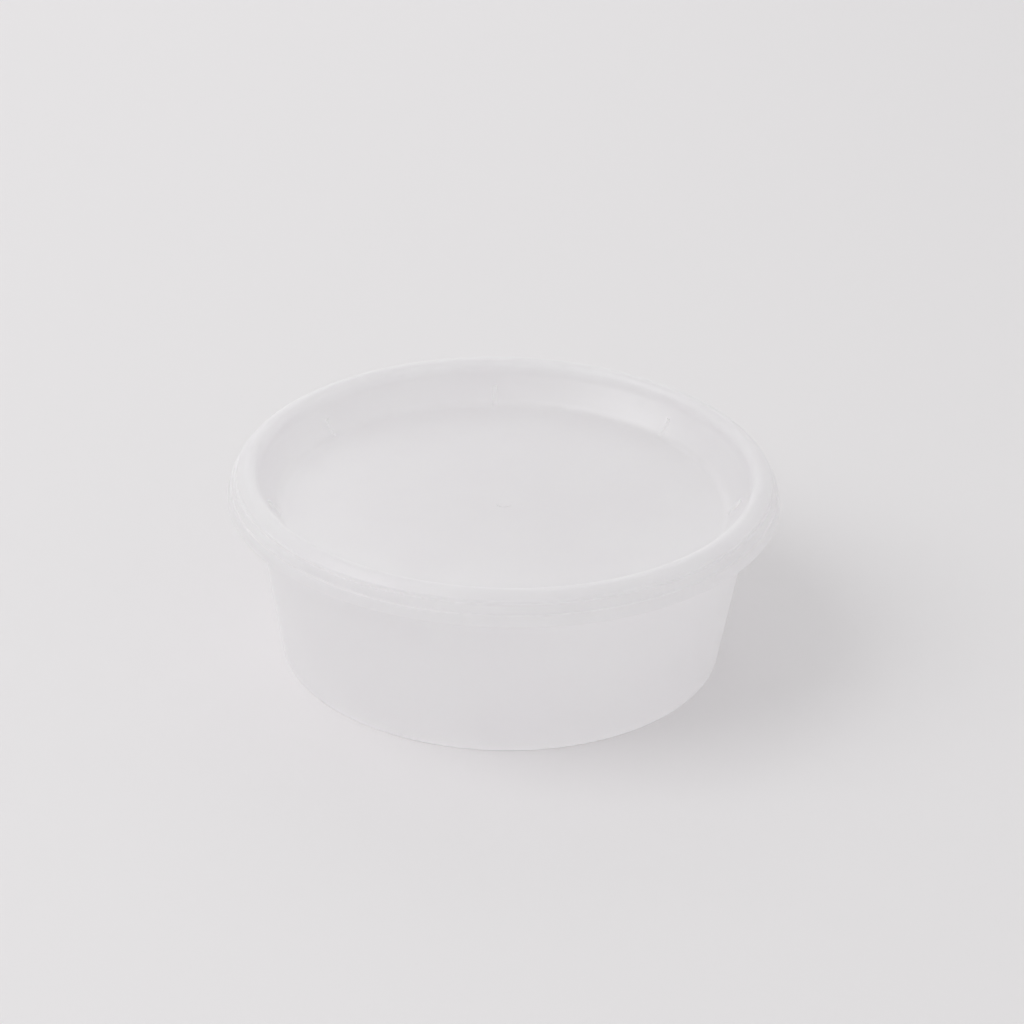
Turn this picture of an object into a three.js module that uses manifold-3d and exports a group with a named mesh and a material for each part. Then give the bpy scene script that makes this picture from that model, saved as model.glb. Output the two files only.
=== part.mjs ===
// Round takeaway soup container: a thin-walled tub and the lid that snaps over its rim.
// Both are injection-moulded in natural, translucent polypropylene.
// Lengths are in millimetres, angles in degrees, and +Z is up.
// The origin is the centre of the foot, on the surface that the tub stands on.

import * as THREE from 'three';
import { mergeVertices } from 'three/addons/utils/BufferGeometryUtils.js';
import Module from 'manifold-3d';

// Tub
const TUB_WALL = 0.65;
const FOOT_RADIUS = 46.9;
const FOOT_ROUNDING = 1.0;
const FOOT_RING_WIDTH = 3.5;
const FOOT_RING_SLOPE = 0.8;
const FOOT_RING_ROUNDING = 0.4;
const BASE_LIFT = 1.0;
const BASE_ROUNDING = 0.5;
const WALL_DRAFT = 9.7;
const TUB_HEIGHT = 41.1;
const RIM_RADIUS = 55.7;
const RIM_DEPTH = 2.2;
const RIM_FLARE = 0.15;
const RIM_INNER_ROUNDING = 0.3;
const RIM_OUTER_ROUNDING = 0.55;

// Denesting lugs inside the tub, which keep stacked empty tubs from jamming
const LUG_COUNT = 50;
const LUG_FIRST_ANGLE = -95.3;
const LUG_WIDTH = 2.4;
const LUG_PROUD = 0.5;
const LUG_BOTTOM = 27;
const LUG_TOP = 32;

// Lid, with its heights measured from the lower edge of its skirt
const LID_WALL = 0.55;
const LID_SEAT = 35.75;
const PANEL_DROP = 2.25;
const PANEL_RADIUS = 47.85;
const PANEL_ROUNDING = 3.0;
const PLUG_RADIUS = 52.15;
const PLUG_HEIGHT = 3.85;
const PLUG_ROUNDING = 4.0;
const CREST_CORNER_RADIUS = 52.84;
const CREST_CORNER_HEIGHT = 7.75;
const CREST_ROUNDING = 1.81;
const SHOULDER_RADIUS = 56.7;
const SHOULDER_HEIGHT = 5.15;
const SHOULDER_ROUNDING = 0.5;
const UPPER_STEP_DROP = 0.55;
const UPPER_STEP_LEAN = 0.05;
const UPPER_STEP_WIDTH = 0.55;
const LOWER_STEP_WIDTH = 0.45;
const STEP_SLOPE = 0.15;
const STEP_OUTER_ROUNDING = 0.3;
const STEP_INNER_ROUNDING = 0.15;
const UPPER_BAND_FLARE = 0.45;
const UPPER_BAND_HEIGHT = 1.85;
const SKIRT_RADIUS = 58.7;

// Ridge inside the skirt, whose tip catches under the tub's rim
const SNAP_TIP_RADIUS = 55.4;
const SNAP_TIP_HEIGHT = 2.3;
const SNAP_TIP_THICKNESS = 0.3;
const SNAP_ROOT_TOP_RADIUS = 57.5;
const SNAP_ROOT_TOP = 2.9;
const SNAP_ROOT_BOTTOM_RADIUS = 58.15;
const SNAP_ROOT_BOTTOM = 1.0;

// Short ribs on the wall of the lid's recess, which centre the container stacked on top
const RIB_COUNT = 7;
const RIB_MIDDLE_ANGLE = 93;
const RIB_PITCH = 48.2;
const RIB_WIDTH = 1.1;
const RIB_LENGTH = 4.1;
const RIB_HEIGHT = -0.25;
const RIB_PROUD = 0.5;

// Gate mark at the middle of the lid, where the plastic entered the mould
const GATE_RADIUS = 1.6;
const GATE_HEIGHT = 0.25;

// Fineness of the faceted solids
const ROUND_SIDES = 60;
const GATE_SIDES = 16;
const ARC_TOLERANCE = 0.03;

const wasm = await Module();
wasm.setup();

// A section is a chain of corners, each with its radius r from the axis, height z and rounding.
function corner(r, z, rounding = 0) {
  return { at: new THREE.Vector2(r, z), rounding };
}

function heading(from, to) {
  return to.at.clone().sub(from.at).normalize();
}

function leftOf(direction) {
  return new THREE.Vector2(-direction.y, direction.x);
}

// The other face of a wall: the chain moved left by the thickness, or right where that is negative.
function otherFace(chain, thickness) {
  return chain.map((here, i) => {
    const before = chain[i - 1];
    const after = chain[i + 1];
    const into = before ? heading(before, here) : heading(here, after);
    const out = after ? heading(here, after) : into;
    const normal = leftOf(into).add(leftOf(out)).normalize();
    const reach = thickness / normal.dot(leftOf(into));
    const turn = Math.sign(into.cross(out));
    const moved = here.at.clone().add(normal.multiplyScalar(reach));
    const rounding = here.rounding > 0 ? Math.max(here.rounding - thickness * turn, 0) : 0;
    return corner(moved.x, moved.y, rounding);
  });
}

// The points along a chain, with every rounded corner drawn as an arc.
function pointsAlong(chain) {
  return chain.flatMap((here, i) => {
    const { at, rounding } = here;
    if (rounding === 0) {
      return [at];
    }
    const into = heading(chain[i - 1], here);
    const out = heading(here, chain[i + 1]);
    const turn = Math.atan2(into.cross(out), into.dot(out));
    const start = at.clone().addScaledVector(into, -rounding * Math.tan(Math.abs(turn) / 2));
    const centre = start.clone().addScaledVector(leftOf(into), rounding * Math.sign(turn));
    const widestStep = 2 * Math.acos(1 - ARC_TOLERANCE / rounding);
    const steps = Math.ceil(Math.abs(turn) / widestStep);
    return Array.from({ length: steps + 1 }, (_, k) =>
      start.clone().rotateAround(centre, (turn * k) / steps));
  });
}

// A closed body of revolution about Z, from section points that run anticlockwise.
function turned(points) {
  return new THREE.LatheGeometry(points, ROUND_SIDES).rotateX(Math.PI / 2);
}

function solidOf(geometry) {
  geometry.deleteAttribute('normal');
  geometry.deleteAttribute('uv');
  const merged = mergeVertices(geometry);
  const corners = merged.index.array;
  const triangles = [];
  for (let k = 0; k < corners.length; k += 3) {
    const [a, b, c] = corners.slice(k, k + 3);
    if (a !== b && b !== c && c !== a) {
      triangles.push(a, b, c);
    }
  }
  return new wasm.Manifold(new wasm.Mesh({
    numProp: 3,
    vertProperties: merged.attributes.position.array,
    triVerts: new Uint32Array(triangles),
  }));
}

function geometryOf(solid) {
  const mesh = solid.getMesh();
  const geometry = new THREE.BufferGeometry();
  geometry.setAttribute('position', new THREE.BufferAttribute(mesh.vertProperties, 3));
  geometry.setIndex(new THREE.BufferAttribute(mesh.triVerts, 1));
  geometry.computeVertexNormals();
  return geometry;
}

// A block on a sloping wall: it leans with the wall, and half of its depth is sunk in it.
function blockOnWall({ radius, height, angle, lean, proud, width, length }) {
  const turn = THREE.MathUtils.degToRad(angle);
  return new THREE.BoxGeometry(2 * proud, width, length)
    .rotateY(lean)
    .translate(radius, 0, height)
    .rotateZ(turn);
}

const draft = Math.tan(THREE.MathUtils.degToRad(WALL_DRAFT));

function tubSolid() {
  const rimUnderside = TUB_HEIGHT - TUB_WALL;
  const rimInset = RIM_RADIUS - TUB_WALL;
  const ringInner = FOOT_RADIUS - FOOT_RING_WIDTH;
  const outside = [
    corner(0, BASE_LIFT),
    corner(ringInner - FOOT_RING_SLOPE, BASE_LIFT, BASE_ROUNDING),
    corner(ringInner, 0, FOOT_RING_ROUNDING),
    corner(FOOT_RADIUS, 0, FOOT_ROUNDING),
    corner(FOOT_RADIUS + rimUnderside * draft, rimUnderside, RIM_INNER_ROUNDING),
    corner(rimInset, rimUnderside, RIM_OUTER_ROUNDING),
    corner(rimInset + RIM_FLARE, TUB_HEIGHT - RIM_DEPTH),
  ];
  const inside = otherFace(outside, TUB_WALL).reverse();
  let tub = solidOf(turned([...pointsAlong(outside), ...pointsAlong(inside)]));
  const lugHeight = (LUG_BOTTOM + LUG_TOP) / 2;
  const wallInside = FOOT_RADIUS + lugHeight * draft - TUB_WALL / Math.cos(Math.atan(draft));
  for (let k = 0; k < LUG_COUNT; k += 1) {
    tub = tub.add(solidOf(blockOnWall({
      radius: wallInside,
      height: lugHeight,
      angle: LUG_FIRST_ANGLE + (k * 360) / LUG_COUNT,
      lean: Math.atan(draft),
      proud: LUG_PROUD,
      width: LUG_WIDTH,
      length: LUG_TOP - LUG_BOTTOM,
    })));
  }
  return tub;
}

// The upper face of the lid, from the middle of its panel out to the lower edge of the skirt.
function lidTopFace() {
  const upperStep = SHOULDER_HEIGHT - UPPER_STEP_DROP;
  const upperStepRadius = SHOULDER_RADIUS + UPPER_STEP_LEAN;
  const upperBand = upperStep - STEP_SLOPE;
  const upperBandRadius = upperStepRadius + UPPER_STEP_WIDTH;
  const lowerStep = upperBand - UPPER_BAND_HEIGHT;
  const lowerStepRadius = upperBandRadius + UPPER_BAND_FLARE;
  return [
    corner(0, -PANEL_DROP),
    corner(PANEL_RADIUS, -PANEL_DROP, PANEL_ROUNDING),
    corner(PLUG_RADIUS, PLUG_HEIGHT, PLUG_ROUNDING),
    corner(CREST_CORNER_RADIUS, CREST_CORNER_HEIGHT, CREST_ROUNDING),
    corner(SHOULDER_RADIUS, SHOULDER_HEIGHT, SHOULDER_ROUNDING),
    corner(upperStepRadius, upperStep, STEP_INNER_ROUNDING),
    corner(upperBandRadius, upperBand, STEP_OUTER_ROUNDING),
    corner(lowerStepRadius, lowerStep, STEP_INNER_ROUNDING),
    corner(lowerStepRadius + LOWER_STEP_WIDTH, lowerStep - STEP_SLOPE, STEP_OUTER_ROUNDING),
    corner(SKIRT_RADIUS, 0),
  ];
}

function snapRidge() {
  const section = [
    new THREE.Vector2(SNAP_TIP_RADIUS, SNAP_TIP_HEIGHT),
    new THREE.Vector2(SNAP_ROOT_BOTTOM_RADIUS, SNAP_ROOT_BOTTOM),
    new THREE.Vector2(SNAP_ROOT_TOP_RADIUS, SNAP_ROOT_TOP),
    new THREE.Vector2(SNAP_TIP_RADIUS, SNAP_TIP_HEIGHT + SNAP_TIP_THICKNESS),
  ];
  return solidOf(turned([...section, section[0]]));
}

function gateMark() {
  const disc = new THREE.CylinderGeometry(GATE_RADIUS, GATE_RADIUS, 2 * GATE_HEIGHT, GATE_SIDES);
  return solidOf(disc.rotateX(Math.PI / 2).translate(0, 0, -PANEL_DROP));
}

function lidSolid() {
  const top = lidTopFace();
  const underside = otherFace(top, -LID_WALL);
  let lid = solidOf(turned([...pointsAlong(underside), ...pointsAlong(top).reverse()]));
  const recessFlare = (PLUG_RADIUS - PANEL_RADIUS) / (PLUG_HEIGHT + PANEL_DROP);
  for (let k = 0; k < RIB_COUNT; k += 1) {
    const fromMiddle = k - (RIB_COUNT - 1) / 2;
    lid = lid.add(solidOf(blockOnWall({
      radius: PANEL_RADIUS + (RIB_HEIGHT + PANEL_DROP) * recessFlare,
      height: RIB_HEIGHT,
      angle: RIB_MIDDLE_ANGLE + fromMiddle * RIB_PITCH,
      lean: Math.atan(recessFlare),
      proud: RIB_PROUD,
      width: RIB_WIDTH,
      length: RIB_LENGTH,
    })));
  }
  return lid.add(snapRidge()).add(gateMark());
}

function piece(name, solid, material) {
  const mesh = new THREE.Mesh(geometryOf(solid), material);
  mesh.name = name;
  return mesh;
}

const tub = piece('tub', tubSolid(), new THREE.MeshStandardMaterial({
  color: 0xdcdadc,
  roughness: 0.4,
  metalness: 0,
  transparent: true,
  opacity: 0.6,
}));

const lid = piece('lid', lidSolid(), new THREE.MeshStandardMaterial({
  color: 0xe0dee0,
  roughness: 0.35,
  metalness: 0,
  transparent: true,
  opacity: 0.6,
}));
lid.position.z = LID_SEAT;

const container = new THREE.Group();
container.add(tub, lid);

export default container;
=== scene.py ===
# Round takeaway soup container, closed: a thin-walled tub and the lid that snaps over its rim.
# Both are injection-moulded in natural, translucent polypropylene and stand on a pale studio floor.
# Lengths are in metres, +Z is up, and the origin is the centre of the foot, on the floor.

import math

import bpy
from mathutils import Matrix, Vector
from mathutils.geometry import intersect_line_line_2d


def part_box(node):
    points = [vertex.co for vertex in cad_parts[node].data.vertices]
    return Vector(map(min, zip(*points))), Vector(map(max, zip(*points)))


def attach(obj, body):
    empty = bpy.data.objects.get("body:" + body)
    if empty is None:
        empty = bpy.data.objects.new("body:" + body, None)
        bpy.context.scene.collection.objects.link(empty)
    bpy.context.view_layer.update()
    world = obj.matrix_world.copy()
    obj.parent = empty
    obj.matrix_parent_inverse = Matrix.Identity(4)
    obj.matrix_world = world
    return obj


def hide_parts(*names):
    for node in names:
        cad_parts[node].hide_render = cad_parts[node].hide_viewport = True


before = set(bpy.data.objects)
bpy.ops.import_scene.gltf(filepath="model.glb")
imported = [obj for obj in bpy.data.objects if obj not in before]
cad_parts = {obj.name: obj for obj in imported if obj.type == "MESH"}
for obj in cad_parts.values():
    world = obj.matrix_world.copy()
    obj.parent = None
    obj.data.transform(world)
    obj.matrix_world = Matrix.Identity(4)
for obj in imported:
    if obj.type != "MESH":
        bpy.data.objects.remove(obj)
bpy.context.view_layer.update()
tub_low, tub_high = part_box("tub")
lid_low, lid_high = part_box("lid")

bl_info = {
    "name": "Takeaway Soup Container",
    "version": (1, 0, 0),
    "blender": (4, 5, 0),
    "location": "3D View > Sidebar > Container",
    "description": "Adds a closed translucent tub and lid, and a pale studio round them",
    "category": "Add Mesh",
}

MM = 0.001

# Fineness of the turned meshes
COLUMN_STEP = math.radians(1.2)
CLOSEST_COLUMNS = COLUMN_STEP / 5
ARC_STEP = math.radians(10)
SHARP_ANGLE = math.radians(32)

# Width of the slope round a lug and round a rib
LUG_SLOPE = 0.15 * MM
RIB_SLOPE = 0.2 * MM

# Natural polypropylene: how it bends light, the skin that the mould gives it, and its wear
POLYPROPYLENE_IOR = 1.49
SKIN_WEIGHT = 0.3
SKIN_ROUGHNESS = 0.25
SATIN_SPREAD = 0.03
RUBBED_ROUGHNESS = 0.8

# How early the sheen rises as the surface turns away; low values keep it to a steep slant
SLANT_BLEND = 0.09

# Studio paper
FIBRE_WIDTH = 2 * MM
FIBRE_DEPTH = 0.01 * MM
PAPER_ROUGHNESS = 0.9
PAPER_SPECULAR = 0.2

# How often light may bounce, and how much noise is left to the denoiser
SCATTERED_BOUNCES = 28
GLOSSY_BOUNCES = 12
PASSING_BOUNCES = 24
NOISE_THRESHOLD = 0.04

# The photograph's frame, in pixels, and the side that it was taken from
FRAME_WIDTH = 1024
FOCAL_PIXELS = 4173
CAMERA_SIDE = math.radians(-90)


def length(name, description, millimetres):
    """A size in the sidebar, given here in millimetres."""
    return bpy.props.FloatProperty(
        name=name, description=description, default=millimetres * MM, precision=5, unit="LENGTH"
    )


def angle(name, description, degrees):
    """An angle in the sidebar, given here in degrees."""
    return bpy.props.FloatProperty(
        name=name, description=description, default=math.radians(degrees), subtype="ANGLE"
    )


def share(name, description, default):
    """A share from 0 to 1 in the sidebar."""
    return bpy.props.FloatProperty(
        name=name, description=description, default=default, min=0, max=1, subtype="FACTOR"
    )


def colour(name, description, shade):
    """A colour in the sidebar, given here as an sRGB hex value."""
    return bpy.props.FloatVectorProperty(
        name=name, description=description, default=linear(shade), size=3, min=0, max=1, subtype="COLOR"
    )


def linear(shade):
    """The linear red, green and blue of an sRGB hex value such as F2F1F2."""
    parts = [int(shade[i:i + 2], 16) / 255 for i in (0, 2, 4)]
    return [p / 12.92 if p <= 0.04045 else ((p + 0.055) / 1.055) ** 2.4 for p in parts]


class TubSizes(bpy.types.PropertyGroup):
    """Sizes of the tub."""

    wall: length("Wall", "Thickness of the wall and base", 0.65)
    foot_radius: length("Foot radius", "Outer radius of the foot", 46.9)
    foot_rounding: length("Foot rounding", "Rounding between foot and wall", 1.0)
    ring_width: length("Foot ring width", "Width of the flat ring that the tub stands on", 3.5)
    ring_slope: length("Foot ring slope", "Width of the slope from the ring up to the base", 0.8)
    ring_rounding: length("Foot ring rounding", "Rounding of the ring's inner edge", 0.4)
    base_lift: length("Base lift", "Height of the raised middle of the base", 1.0)
    base_rounding: length("Base rounding", "Rounding where the base meets the ring's slope", 0.5)
    draft: angle("Draft", "Lean of the wall, which lets the tub leave its mould", 9.7)
    rim_radius: length("Rim radius", "Outer radius of the turned-down rim, at its top", 55.7)
    rim_depth: length("Rim depth", "Height of the turned-down rim", 2.2)
    rim_flare: length("Rim flare", "How much wider the rim is at its lower edge", 0.15)
    rim_inner_rounding: length("Rim inner rounding", "Rounding from the wall into the rim", 0.3)
    rim_outer_rounding: length("Rim outer rounding", "Rounding at the rim's top edge", 0.55)
    edge_rounding: length("Edge rounding", "Rounding of the rim's lower edge", 0.2)
    height: length("Height", "Height of the tub", tub_high.z / MM)
    lug_count: bpy.props.IntProperty(
        name="Lugs", description="Number of denesting lugs inside the wall", default=50, min=1
    )
    lug_first: angle("First lug", "Angle of the first lug about the axis", -95.3)
    lug_width: length("Lug width", "Width of a lug round the wall", 2.4)
    lug_proud: length("Lug depth", "How far a lug stands proud of the wall", 0.5)
    lug_bottom: length("Lug bottom", "Height of a lug's lower end", 27)
    lug_top: length("Lug top", "Height of a lug's upper end", 32)


class LidSizes(bpy.types.PropertyGroup):
    """Sizes of the lid, with heights measured from the lower edge of its skirt."""

    wall: length("Wall", "Thickness of the lid", 0.55)
    panel_drop: length("Panel drop", "How far the sunk panel lies below the skirt's lower edge", 2.25)
    panel_radius: length("Panel radius", "Radius at which the panel meets the recess wall", 47.85)
    panel_rounding: length("Panel rounding", "Fillet between panel and recess wall", 3.0)
    plug_radius: length("Plug radius", "Radius where the recess wall turns upright", 52.15)
    plug_height: length("Plug height", "Height where the recess wall turns upright", 3.85)
    plug_rounding: length("Plug rounding", "Rounding where the recess wall turns upright", 4.0)
    crest_radius: length("Crest radius", "Radius of the corner that the crest rounds off", 52.84)
    crest_height: length("Crest height", "Height of the corner that the crest rounds off", 7.75)
    crest_rounding: length("Crest rounding", "Rounding of the crest", 1.81)
    shoulder_radius: length("Shoulder radius", "Radius of the shoulder outside the crest", 56.7)
    shoulder_height: length("Shoulder height", "Height of the shoulder outside the crest", 5.15)
    shoulder_rounding: length("Shoulder rounding", "Rounding of the shoulder", 0.5)
    upper_step_drop: length("Upper step drop", "Height from the shoulder to the upper step", 0.55)
    upper_step_lean: length("Upper step lean", "Lean of the face above the upper step", 0.05)
    upper_step_width: length("Upper step width", "Width of the upper step", 0.55)
    lower_step_width: length("Lower step width", "Width of the lower step", 0.45)
    step_slope: length("Step slope", "Fall of each step over its width", 0.15)
    step_outer_rounding: length("Step outer rounding", "Rounding of a step's edge", 0.3)
    step_inner_rounding: length("Step inner rounding", "Rounding in a step's corner", 0.15)
    band_flare: length("Band flare", "Lean of the band between the steps", 0.45)
    band_height: length("Band height", "Height of the band between the steps", 1.85)
    skirt_radius: length("Skirt radius", "Radius of the skirt's lower edge", lid_high.x / MM)
    edge_rounding: length("Edge rounding", "Rounding of the skirt's lower edge", 0.2)
    snap_tip_radius: length("Snap tip radius", "Radius of the snap ridge's tip", 55.4)
    snap_tip_height: length("Snap tip height", "Height of the tip's lower edge", 2.3)
    snap_tip_thickness: length("Snap tip thickness", "Thickness of the tip", 0.3)
    snap_top_radius: length("Snap root top radius", "Radius of the ridge's root, at its top", 57.5)
    snap_top: length("Snap root top", "Height of the ridge's root, at its top", 2.9)
    snap_bottom_radius: length("Snap root bottom radius", "Radius of the root, at its bottom", 58.15)
    snap_bottom: length("Snap root bottom", "Height of the ridge's root, at its bottom", 1.0)
    rib_count: bpy.props.IntProperty(
        name="Ribs", description="Number of ribs on the recess wall", default=7, min=1
    )
    rib_middle: angle("Middle rib", "Angle of the middle rib about the axis", 93)
    rib_pitch: angle("Rib pitch", "Angle from one rib to the next", 48.2)
    rib_width: length("Rib width", "Width of a rib round the wall", 1.1)
    rib_length: length("Rib length", "Length of a rib up the wall", 4.1)
    rib_height: length("Rib height", "Height of a rib's middle", -0.25)
    rib_proud: length("Rib depth", "How far a rib stands proud of the wall", 0.45)
    gate_radius: length("Gate radius", "Radius of the gate mark at the middle of the panel", 1.6)
    gate_height: length("Gate height", "Height of the gate mark above the panel", 0.1)
    gate_rounding: length("Gate rounding", "Rounding of the gate mark's edge", 0.08)


class PlasticFinish(bpy.types.PropertyGroup):
    """Finish of the natural polypropylene."""

    tub_clear: colour("Clear tub shade", "Colour where the tub is clearest", "FFFFFF")
    tub_milky: colour("Milky tub shade", "Colour where the tub is milkiest", "FEFDFE")
    lid_clear: colour("Clear lid shade", "Colour where the lid is clearest", "FEFEFE")
    lid_milky: colour("Milky lid shade", "Colour where the lid is milkiest", "FBFAFB")
    tub_glow: share("Tub glow", "Share of the light that the tub softens and lets through", 0.7)
    lid_glow: share("Lid glow", "Share of the light that the lid softens and lets through", 0.65)
    tub_haze: share("Tub haze", "How much of the rest the tub scatters back", 0.2)
    lid_haze: share("Lid haze", "How much of the rest the lid scatters back", 0.3)
    least_sheen: share("Least sheen", "Share of the light that the skin mirrors when seen head-on", 0.02)
    tub_gloss: share("Tub roughness", "Roughness of the tub's satin surface", 0.32)
    lid_gloss: share("Lid roughness", "Roughness of the lid's surface", 0.31)
    rub_depth: length("Rub height", "Height of the edges that stacking has rubbed dull", 0.9)
    rub_width: length("Rub width", "Width of the rubbed patches", 2.5)
    flow_width: length("Flow mark width", "Width of the faint milky flow marks", 14)
    grain_width: length("Grain width", "Width of the fine grain of the mould's surface", 0.6)
    grain_depth: length("Grain depth", "Depth of the fine grain of the mould's surface", 0.004)


class StageSettings(bpy.types.PropertyGroup):
    """Floor, light and camera."""

    floor: colour("Floor", "Colour of the pale floor", "E9E7E8")
    floor_width: length("Floor width", "Width of the floor", 8000)
    low_fill: bpy.props.FloatProperty(
        name="Low fill", description="Strength of the soft light from near the horizon", default=0.93
    )
    top_fill: bpy.props.FloatProperty(
        name="Top fill", description="Strength of the soft light from straight above", default=0.62
    )
    key_power: bpy.props.FloatProperty(
        name="Key power", description="Power of the large softbox", default=4.8, unit="POWER"
    )
    key_side: angle("Key direction", "Direction of the softbox about the axis", 199)
    key_rise: angle("Key elevation", "Elevation of the softbox above the floor", 50)
    key_distance: length("Key distance", "Distance of the softbox from the object", 1300)
    key_width: length("Key width", "Width of the softbox", 1000)
    rear_power: bpy.props.FloatProperty(
        name="Rear power", description="Power of the small rear softbox", default=0.25, unit="POWER"
    )
    rear_side: angle("Rear direction", "Direction of the rear softbox about the axis", 100)
    rear_rise: angle("Rear elevation", "Elevation of the rear softbox above the floor", 30)
    rear_distance: length("Rear distance", "Distance of the rear softbox from the object", 700)
    rear_width: length("Rear width", "Width of the rear softbox", 500)
    camera_distance: length("Camera distance", "Distance of the camera from the foot's centre", 904.5)
    camera_rise: angle("Camera elevation", "Elevation of the camera above the floor", 29.245)
    camera_turn: angle("Camera turn", "How far the camera turns off the foot's centre", -0.116)
    camera_tip: angle("Camera tip", "How far the camera tips up off the foot's centre", 1.7755)
    camera_roll: angle("Camera roll", "How far the camera rolls about its own line of sight", 1.299)


def corner(radius, height, rounding=0.0):
    """A corner of a section: its place and the radius that rounds it off."""
    return Vector((radius, height)), rounding


def left_of(direction):
    """The direction a quarter turn to the left."""
    return Vector((-direction.y, direction.x))


def turning(into, out):
    """The angle from one heading to the next, positive to the left."""
    return math.atan2(into.x * out.y - into.y * out.x, into.dot(out))


def other_face(chain, thickness):
    """The other face of a wall: the chain moved left by the thickness, or right where that is negative."""
    places = [place for place, rounding in chain]
    headings = [(after - here).normalized() for here, after in zip(places, places[1:])]
    moved = []
    for (here, rounding), into, out in zip(chain, headings[:1] + headings, headings + headings[-1:]):
        normal = (left_of(into) + left_of(out)).normalized()
        reach = thickness / normal.dot(left_of(into))
        eased = max(rounding - math.copysign(thickness, turning(into, out) * thickness), 0)
        moved.append(corner(*(here + normal * reach), eased if rounding > 0 else 0))
    return moved


def points_along(chain):
    """The points along a chain of corners, with every rounded corner drawn as an arc."""
    points = []
    for i, (here, rounding) in enumerate(chain):
        if rounding == 0:
            points.append(here)
            continue
        into = (here - chain[i - 1][0]).normalized()
        out = (chain[i + 1][0] - here).normalized()
        turn = turning(into, out)
        start = here - into * rounding * math.tan(abs(turn) / 2)
        to_centre = left_of(into) * math.copysign(rounding, turn)
        steps = max(math.ceil(abs(turn) / ARC_STEP), 2)
        for k in range(steps + 1):
            spoke = to_centre.copy()
            spoke.rotate(Matrix.Rotation(turn * k / steps, 2))
            points.append(start + to_centre - spoke)
    return points


def rows_between(low, high, places):
    """Plain corners on the straight wall between two corners, at given distances along it from the first."""
    start, end = low[0], high[0]
    up = (end - start).normalized()
    return [corner(*(start + up * place)) for place in places]


class WallBlocks:
    """Small moulded blocks, all alike, on the straight wall between two corners of a section."""

    def __init__(self, low, high, middle, span, width, proud, ramp, angles):
        self.start = low[0]
        self.up = (high[0] - low[0]).normalized()
        self.into_cup = left_of(self.up)
        self.middle = middle
        self.half_span = span / 2
        self.half_width = width / 2
        self.proud = proud
        self.ramp = ramp
        self.angles = angles
        self.radius = (self.start + self.up * middle).x

    def row_places(self):
        """Distances along the wall of the rows that draw the blocks' ends."""
        ends = (self.half_span, self.half_span - self.ramp)
        return sorted(self.middle + side * end for side in (-1, 1) for end in ends)

    def column_angles(self):
        """Angles of the columns that draw the blocks' sides."""
        sides = (self.half_width, self.half_width - self.ramp)
        return [a + sign * s / self.radius for a in self.angles for sign in (-1, 1) for s in sides]

    def raised(self, point, turn):
        """The point lifted onto a block's face where one covers it."""
        from_start = point - self.start
        along = abs(from_start.dot(self.up) - self.middle)
        aside = min(abs(math.remainder(turn - a, math.tau)) for a in self.angles) * self.radius
        cover = min(self.half_span - along, self.half_width - aside) / self.ramp
        lift = self.proud - from_start.dot(self.into_cup)
        # A point further back than a block stands proud is on the wall's other face
        if cover <= 0 or lift <= 0 or lift > 2 * self.proud:
            return point
        return point + self.into_cup * lift * min(cover, 1)


def column_angles(blocks):
    """Angles of a mesh's columns: even ones all round, and those that draw the blocks' sides."""
    edges = blocks.column_angles()
    count = round(math.tau / COLUMN_STEP)
    even = [k * math.tau / count for k in range(count)]
    clear = [
        a for a in even if min(abs(math.remainder(a - e, math.tau)) for e in edges) > CLOSEST_COLUMNS
    ]
    return sorted(a % math.tau for a in clear + edges)


def turned(name, section, blocks):
    """A closed mesh of revolution about Z, from section points that run anticlockwise from axis to axis."""
    bottom, *ring, top = section
    angles = column_angles(blocks)
    poles = [(0, 0, bottom.y), (0, 0, top.y)]
    vertices = list(poles)
    for turn in angles:
        for point in ring:
            radius, height = blocks.raised(point, turn)
            vertices.append((radius * math.cos(turn), radius * math.sin(turn), height))
    faces = []
    for column in range(len(angles)):
        here = len(poles) + column * len(ring)
        there = len(poles) + (column + 1) % len(angles) * len(ring)
        faces.append((0, there, here))
        faces.extend((here + i, there + i, there + i + 1, here + i + 1) for i in range(len(ring) - 1))
        faces.append((here + len(ring) - 1, there + len(ring) - 1, 1))
    mesh = bpy.data.meshes.new(name)
    mesh.from_pydata(vertices, [], faces)
    mesh.shade_smooth()
    mesh.set_sharp_from_angle(angle=SHARP_ANGLE)
    return mesh


def add_piece(name, mesh, material, node):
    """Puts a finished piece in the scene, in the place of its CAD node."""
    mesh.materials.append(material)
    piece = bpy.data.objects.new(name, mesh)
    bpy.context.scene.collection.objects.link(piece)
    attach(piece, "root")
    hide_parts(node)


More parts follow.
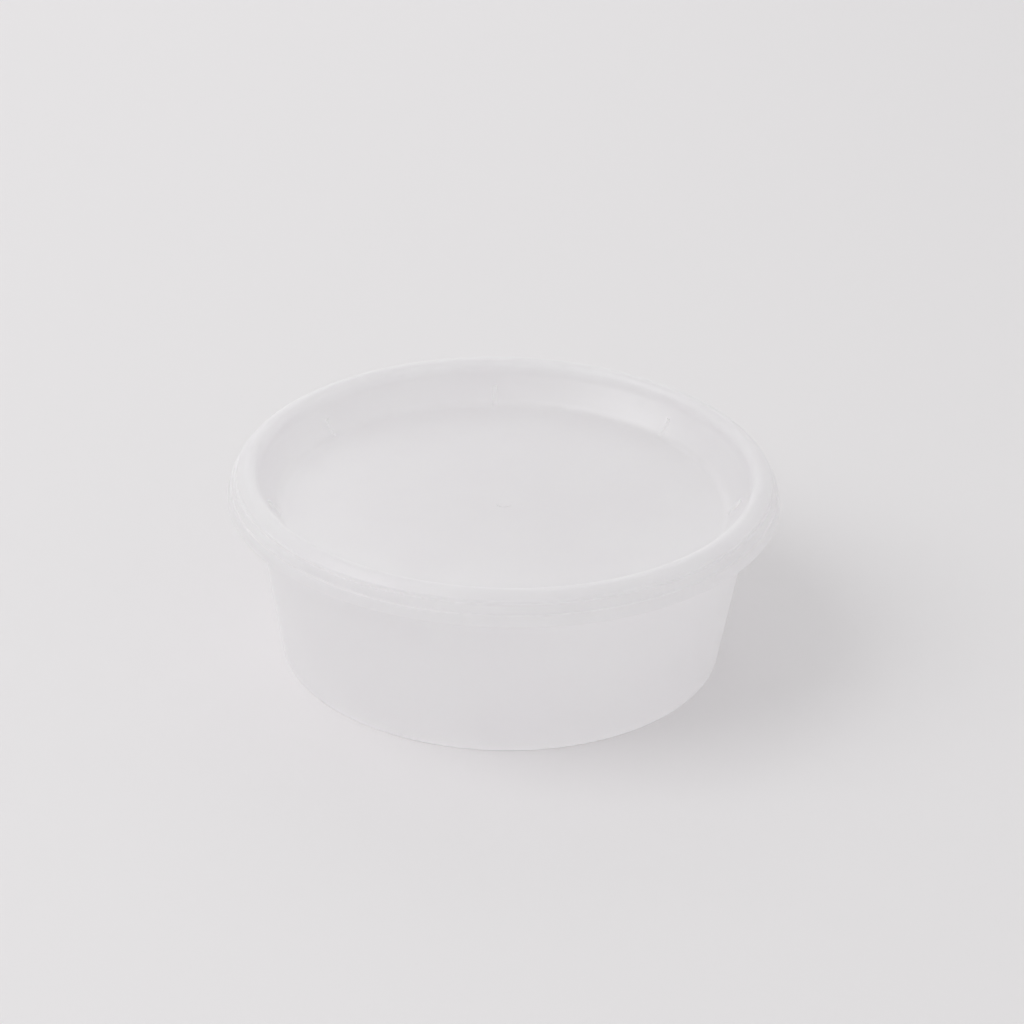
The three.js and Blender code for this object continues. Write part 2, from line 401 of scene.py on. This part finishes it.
def tub_mesh(sizes):
    """The tub: raised base, foot ring, leaning wall with its denesting lugs, and turned-down rim."""
    lean = math.tan(sizes.draft)
    rim_underside = sizes.height - sizes.wall
    rim_inset = sizes.rim_radius - sizes.wall
    ring_inner = sizes.foot_radius - sizes.ring_width
    outside = [
        corner(0, sizes.base_lift),
        corner(ring_inner - sizes.ring_slope, sizes.base_lift, sizes.base_rounding),
        corner(ring_inner, 0, sizes.ring_rounding),
        corner(sizes.foot_radius, 0, sizes.foot_rounding),
        corner(sizes.foot_radius + rim_underside * lean, rim_underside, sizes.rim_inner_rounding),
        corner(rim_inset, rim_underside, sizes.rim_outer_rounding),
        corner(rim_inset + sizes.rim_flare, sizes.height - sizes.rim_depth),
    ]
    inside = other_face(outside, sizes.wall)
    # The lugs stand on the wall, between the foot's corner and the rim's
    wall_low, wall_high = inside[3:5]
    rise = math.cos(sizes.draft)
    lug_length = sizes.lug_top - sizes.lug_bottom
    lugs = WallBlocks(
        wall_low,
        wall_high,
        middle=((sizes.lug_bottom + sizes.lug_top) / 2 - wall_low[0].y) / rise,
        span=lug_length,
        width=sizes.lug_width,
        proud=sizes.lug_proud,
        ramp=LUG_SLOPE,
        angles=[sizes.lug_first + k * math.tau / sizes.lug_count for k in range(sizes.lug_count)],
    )
    inside[4:4] = rows_between(wall_low, wall_high, lugs.row_places())
    # The rim's lower edge is rounded on both faces
    outside[-1] = (outside[-1][0], sizes.edge_rounding)
    inside[-1] = (inside[-1][0], sizes.edge_rounding)
    return turned("tub_moulded", points_along(outside + inside[::-1]), lugs)


def lid_top_face(sizes):
    """The upper face of the lid, from the middle of its panel out to the lower edge of the skirt."""
    upper_step = sizes.shoulder_height - sizes.upper_step_drop
    upper_step_radius = sizes.shoulder_radius + sizes.upper_step_lean
    upper_band = upper_step - sizes.step_slope
    upper_band_radius = upper_step_radius + sizes.upper_step_width
    lower_step = upper_band - sizes.band_height
    lower_step_radius = upper_band_radius + sizes.band_flare
    return [
        corner(0, -sizes.panel_drop),
        corner(sizes.panel_radius, -sizes.panel_drop, sizes.panel_rounding),
        corner(sizes.plug_radius, sizes.plug_height, sizes.plug_rounding),
        corner(sizes.crest_radius, sizes.crest_height, sizes.crest_rounding),
        corner(sizes.shoulder_radius, sizes.shoulder_height, sizes.shoulder_rounding),
        corner(upper_step_radius, upper_step, sizes.step_inner_rounding),
        corner(upper_band_radius, upper_band, sizes.step_outer_rounding),
        corner(lower_step_radius, lower_step, sizes.step_inner_rounding),
        corner(
            lower_step_radius + sizes.lower_step_width,
            lower_step - sizes.step_slope,
            sizes.step_outer_rounding,
        ),
        corner(sizes.skirt_radius, 0, sizes.edge_rounding),
    ]


def lid_underside(sizes, top):
    """The lower face of the lid, with the snap ridge standing on the inside of its skirt."""
    face = other_face(top, -sizes.wall)
    tip = Vector((sizes.snap_tip_radius, sizes.snap_tip_height))
    tip_top = tip + Vector((0, sizes.snap_tip_thickness))
    root_top = Vector((sizes.snap_top_radius, sizes.snap_top))
    root_bottom = Vector((sizes.snap_bottom_radius, sizes.snap_bottom))
    band_top, band_low, skirt_top, skirt_end = [place for place, rounding in face[-4:]]
    enters = intersect_line_line_2d(band_top, band_low, tip_top, root_top)
    leaves = intersect_line_line_2d(skirt_top, skirt_end, tip, root_bottom)
    tip_rounding = sizes.snap_tip_thickness / 3
    ridge = [corner(*enters), corner(*tip_top, tip_rounding), corner(*tip, tip_rounding), corner(*leaves)]
    return face[:-3] + ridge + [corner(*skirt_end, sizes.edge_rounding)]


def lid_mesh(sizes):
    """The lid: sunk panel with its gate mark, ribbed recess wall, crest, and stepped skirt."""
    top = lid_top_face(sizes)
    underside = lid_underside(sizes, top)
    # The ribs stand on the recess wall, between the panel's corner and the plug's
    wall_low, wall_high = top[1:3]
    wall = wall_high[0] - wall_low[0]
    ribs = WallBlocks(
        wall_low,
        wall_high,
        middle=(sizes.rib_height - wall_low[0].y) * wall.length / wall.y,
        span=sizes.rib_length,
        width=sizes.rib_width,
        proud=sizes.rib_proud,
        ramp=RIB_SLOPE,
        angles=[
            sizes.rib_middle + (k - (sizes.rib_count - 1) / 2) * sizes.rib_pitch
            for k in range(sizes.rib_count)
        ],
    )
    # A rib's lower end lies in the panel's fillet, so only its upper end needs rows of its own
    top[2:2] = rows_between(wall_low, wall_high, ribs.row_places()[2:])
    # The gate mark takes the place of the panel's middle
    gate_top = sizes.gate_height - sizes.panel_drop
    top[:1] = [
        corner(0, gate_top),
        corner(sizes.gate_radius, gate_top, sizes.gate_rounding),
        corner(sizes.gate_radius, -sizes.panel_drop),
    ]
    mesh = turned("lid_moulded", points_along(underside + top[::-1]), ribs)
    seat = lid_low.z + sizes.wall + sizes.panel_drop
    mesh.transform(Matrix.Translation((0, 0, seat)))
    return mesh


def add_node(tree, kind, values=None, links=None, **settings):
    """Adds a shader node with its settings, its sockets' values, and links into its sockets."""
    made = tree.nodes.new(kind)
    for setting, value in settings.items():
        setattr(made, setting, value)
    sockets = {socket.identifier: socket for socket in made.inputs}
    for socket, value in (values or {}).items():
        sockets[socket].default_value = value
    for socket, source in (links or {}).items():
        tree.links.new(source, sockets[socket])
    return made


def natural_polypropylene(name, finish, part, edge, inward):
    """Natural polypropylene, injection-moulded.

    It has no pigment, so it is milky and translucent. Light passes through the thin wall and comes
    out softened, and the moulded skin gives broad, weak highlights that strengthen at a slant.
    """
    material = bpy.data.materials.new(name)
    material.use_nodes = True
    tree = material.node_tree
    tree.nodes.clear()
    clear, milky = getattr(finish, part + "_clear"), getattr(finish, part + "_milky")
    roughness = getattr(finish, part + "_gloss")
    place = add_node(tree, "ShaderNodeTexCoord").outputs["Object"]

    # Faint cloudy flow marks, left by the melt as it fills the mould
    flow = add_node(
        tree,
        "ShaderNodeTexNoise",
        {"Scale": 1 / finish.flow_width, "Detail": 2.0, "Roughness": 0.5},
        {"Vector": place},
    ).outputs["Fac"]
    shade = add_node(
        tree,
        "ShaderNodeMix",
        {"A_Color": (*clear, 1), "B_Color": (*milky, 1)},
        {"Factor_Float": flow},
        data_type="RGBA",
    ).outputs[2]
    # Satin with slightly glossier and duller patches
    satin = add_node(
        tree,
        "ShaderNodeMapRange",
        {"To Min": roughness - SATIN_SPREAD, "To Max": roughness + SATIN_SPREAD},
        {"Value": flow},
    ).outputs["Result"]
    # The edge that carries a stack is rubbed dull in patches
    height = add_node(tree, "ShaderNodeSeparateXYZ", None, {"Vector": place}).outputs["Z"]
    carrying = add_node(
        tree,
        "ShaderNodeMapRange",
        {"From Min": edge + inward * finish.rub_depth, "From Max": edge},
        {"Value": height},
    ).outputs["Result"]
    patches = add_node(
        tree,
        "ShaderNodeTexNoise",
        {"Scale": 1 / finish.rub_width, "Detail": 4.0, "Roughness": 0.7},
        {"Vector": place},
    ).outputs["Fac"]
    rubbed = add_node(
        tree, "ShaderNodeMath", None, {"Value": carrying, "Value_001": patches}, operation="MULTIPLY"
    ).outputs["Value"]
    dulled = add_node(
        tree,
        "ShaderNodeMix",
        {"B_Float": RUBBED_ROUGHNESS},
        {"Factor_Float": rubbed, "A_Float": satin},
    ).outputs[0]
    # Fine grain of the mould's surface, coarser than the real one so that it shows
    grain = add_node(
        tree,
        "ShaderNodeTexNoise",
        {"Scale": 1 / finish.grain_width, "Detail": 1.0},
        {"Vector": place},
    ).outputs["Fac"]
    skin = add_node(
        tree, "ShaderNodeBump", {"Strength": 1.0, "Distance": finish.grain_depth}, {"Height": grain}
    ).outputs["Normal"]
    # The milky wall scatters part of the light back, under the smooth skin that the mould gives it
    milk = add_node(
        tree,
        "ShaderNodeBsdfPrincipled",
        {
            "IOR": POLYPROPYLENE_IOR,
            "Alpha": getattr(finish, part + "_haze"),
            "Coat Weight": SKIN_WEIGHT,
            "Coat Roughness": SKIN_ROUGHNESS,
            "Coat IOR": POLYPROPYLENE_IOR,
        },
        {"Base Color": shade, "Roughness": dulled, "Normal": skin},
    ).outputs["BSDF"]
    # The light that gets through comes out softened on the other side
    softened = add_node(tree, "ShaderNodeBsdfTranslucent", None, {"Color": shade}).outputs["BSDF"]
    wall = add_node(
        tree,
        "ShaderNodeMixShader",
        {"Fac": getattr(finish, part + "_glow")},
        {"Shader": milk, "Shader_001": softened},
    ).outputs["Shader"]
    # The satin sheen, weak head-on and strong at a slant
    sheen = add_node(
        tree, "ShaderNodeBsdfGlossy", {"Color": (1, 1, 1, 1)}, {"Roughness": dulled, "Normal": skin}
    ).outputs["BSDF"]
    slant = add_node(
        tree, "ShaderNodeLayerWeight", {"Blend": SLANT_BLEND}, {"Normal": skin}
    ).outputs["Facing"]
    mirrored = add_node(
        tree, "ShaderNodeMapRange", {"To Min": finish.least_sheen, "To Max": 1.0}, {"Value": slant}
    ).outputs["Result"]
    plastic = add_node(
        tree, "ShaderNodeMixShader", None, {"Fac": mirrored, "Shader": wall, "Shader_001": sheen}
    ).outputs["Shader"]
    add_node(tree, "ShaderNodeOutputMaterial", None, {"Surface": plastic})
    return material


def studio_paper(settings):
    """Matt white studio paper, which gives no highlight of its own."""
    material = bpy.data.materials.new("studio_paper")
    material.use_nodes = True
    tree = material.node_tree
    tree.nodes.clear()
    place = add_node(tree, "ShaderNodeTexCoord").outputs["Object"]
    fibre = add_node(
        tree, "ShaderNodeTexNoise", {"Scale": 1 / FIBRE_WIDTH, "Detail": 3.0}, {"Vector": place}
    ).outputs["Fac"]
    tooth = add_node(
        tree, "ShaderNodeBump", {"Strength": 1.0, "Distance": FIBRE_DEPTH}, {"Height": fibre}
    ).outputs["Normal"]
    paper = add_node(
        tree,
        "ShaderNodeBsdfPrincipled",
        {
            "Base Color": (*settings.floor, 1),
            "Roughness": PAPER_ROUGHNESS,
            "Specular IOR Level": PAPER_SPECULAR,
        },
        {"Normal": tooth},
    ).outputs["BSDF"]
    add_node(tree, "ShaderNodeOutputMaterial", None, {"Surface": paper})
    return material


def toward(side, rise):
    """The direction from the object at an angle about the axis and an elevation."""
    return Vector((math.cos(rise) * math.cos(side), math.cos(rise) * math.sin(side), math.sin(rise)))


def add_object(name, data):
    """Puts a new object in the scene."""
    made = bpy.data.objects.new(name, data)
    bpy.context.scene.collection.objects.link(made)
    return made


class CONTAINER_OT_tub(bpy.types.Operator):
    """Adds the tub, in the place of the frame's plain one"""

    bl_idname = "container.add_tub"
    bl_label = "Add Tub"

    def execute(self, context):
        finish = context.scene.container_plastic
        material = natural_polypropylene("polypropylene_moulded_tub", finish, "tub", tub_low.z, 1)
        add_piece("tub_moulded", tub_mesh(context.scene.container_tub), material, "tub")
        return {"FINISHED"}


class CONTAINER_OT_lid(bpy.types.Operator):
    """Adds the lid, in the place of the frame's plain one"""

    bl_idname = "container.add_lid"
    bl_label = "Add Lid"

    def execute(self, context):
        finish = context.scene.container_plastic
        material = natural_polypropylene("polypropylene_moulded_lid", finish, "lid", lid_high.z, -1)
        add_piece("lid_moulded", lid_mesh(context.scene.container_lid), material, "lid")
        return {"FINISHED"}


class CONTAINER_OT_stage(bpy.types.Operator):
    """Adds the pale floor, the soft studio light and the camera"""

    bl_idname = "container.add_stage"
    bl_label = "Add Studio"

    def execute(self, context):
        scene = context.scene
        settings = scene.container_stage
        self.add_floor(settings)
        self.add_light(scene, settings)
        self.add_camera(scene, settings)
        self.let_light_wander(scene.cycles)
        return {"FINISHED"}

    def add_floor(self, settings):
        half = settings.floor_width / 2
        corners = [(-half, -half, 0), (half, -half, 0), (half, half, 0), (-half, half, 0)]
        mesh = bpy.data.meshes.new("floor")
        mesh.from_pydata(corners, [], [(0, 1, 2, 3)])
        mesh.materials.append(studio_paper(settings))
        add_object("floor", mesh)

    def add_light(self, scene, settings):
        world = bpy.data.worlds.new("studio")
        world.use_nodes = True
        world.node_tree.nodes.clear()
        toward_sky = add_node(world.node_tree, "ShaderNodeTexCoord").outputs["Generated"]
        rise = add_node(world.node_tree, "ShaderNodeSeparateXYZ", None, {"Vector": toward_sky}).outputs["Z"]
        strength = add_node(
            world.node_tree,
            "ShaderNodeMapRange",
            {"To Min": settings.low_fill, "To Max": settings.top_fill},
            {"Value": rise},
        ).outputs["Result"]
        sky = add_node(
            world.node_tree, "ShaderNodeBackground", {"Color": (1, 1, 1, 1)}, {"Strength": strength}
        ).outputs["Background"]
        add_node(world.node_tree, "ShaderNodeOutputWorld", None, {"Surface": sky})
        scene.world = world
        for lamp in ("key", "rear"):
            softbox = bpy.data.lights.new(lamp + "_softbox", "AREA")
            softbox.shape = "SQUARE"
            softbox.size = getattr(settings, lamp + "_width")
            softbox.energy = getattr(settings, lamp + "_power")
            direction = toward(getattr(settings, lamp + "_side"), getattr(settings, lamp + "_rise"))
            box = add_object(lamp + "_softbox", softbox)
            box.location = direction * getattr(settings, lamp + "_distance")
            box.rotation_euler = direction.to_track_quat("Z", "Y").to_euler()

    def add_camera(self, scene, settings):
        optics = bpy.data.cameras.new("camera")
        optics.lens = optics.sensor_width * FOCAL_PIXELS / FRAME_WIDTH
        camera = add_object("camera", optics)
        place = toward(CAMERA_SIDE, settings.camera_rise) * settings.camera_distance
        aim = (-place).to_track_quat("-Z", "Y").to_matrix()
        turn = Matrix.Rotation(settings.camera_turn, 3, "Y")
        tip = Matrix.Rotation(settings.camera_tip, 3, "X")
        roll = Matrix.Rotation(settings.camera_roll, 3, "Z")
        camera.matrix_world = Matrix.LocRotScale(place, (aim @ turn @ tip @ roll).to_quaternion(), None)
        scene.camera = camera
        scene.view_settings.view_transform = "Standard"

    def let_light_wander(self, cycles):
        """Lets light bounce often enough to leave the milky cavity, and smooths the noise left."""
        cycles.max_bounces = SCATTERED_BOUNCES
        cycles.diffuse_bounces = SCATTERED_BOUNCES
        cycles.glossy_bounces = GLOSSY_BOUNCES
        cycles.transmission_bounces = SCATTERED_BOUNCES
        cycles.transparent_max_bounces = PASSING_BOUNCES
        cycles.adaptive_threshold = NOISE_THRESHOLD
        cycles.use_denoising = True


class CONTAINER_PT_panel(bpy.types.Panel):
    """Lists the sizes, the finish and the buttons that add the pieces"""

    bl_idname = "CONTAINER_PT_panel"
    bl_label = "Takeaway Soup Container"
    bl_space_type = "VIEW_3D"
    bl_region_type = "UI"
    bl_category = "Container"

    def draw(self, context):
        for group in SETTINGS:
            box = self.layout.box()
            box.label(text=SETTINGS[group].__doc__)
            settings = getattr(context.scene, group)
            for name in settings.__annotations__:
                box.prop(settings, name)
        for operator in OPERATORS:
            self.layout.operator(operator.bl_idname)


SETTINGS = {
    "container_tub": TubSizes,
    "container_lid": LidSizes,
    "container_plastic": PlasticFinish,
    "container_stage": StageSettings,
}
OPERATORS = (CONTAINER_OT_tub, CONTAINER_OT_lid, CONTAINER_OT_stage)


def register():
    for kind in (*SETTINGS.values(), *OPERATORS, CONTAINER_PT_panel):
        bpy.utils.register_class(kind)
    for group, kind in SETTINGS.items():
        setattr(bpy.types.Scene, group, bpy.props.PointerProperty(type=kind))


def unregister():
    for group in SETTINGS:
        delattr(bpy.types.Scene, group)
    for kind in (CONTAINER_PT_panel, *OPERATORS[::-1], *list(SETTINGS.values())[::-1]):
        bpy.utils.unregister_class(kind)


def main():
    register()
    bpy.ops.container.add_tub()
    bpy.ops.container.add_lid()
    bpy.ops.container.add_stage()


if __name__ == "__main__":
    main()
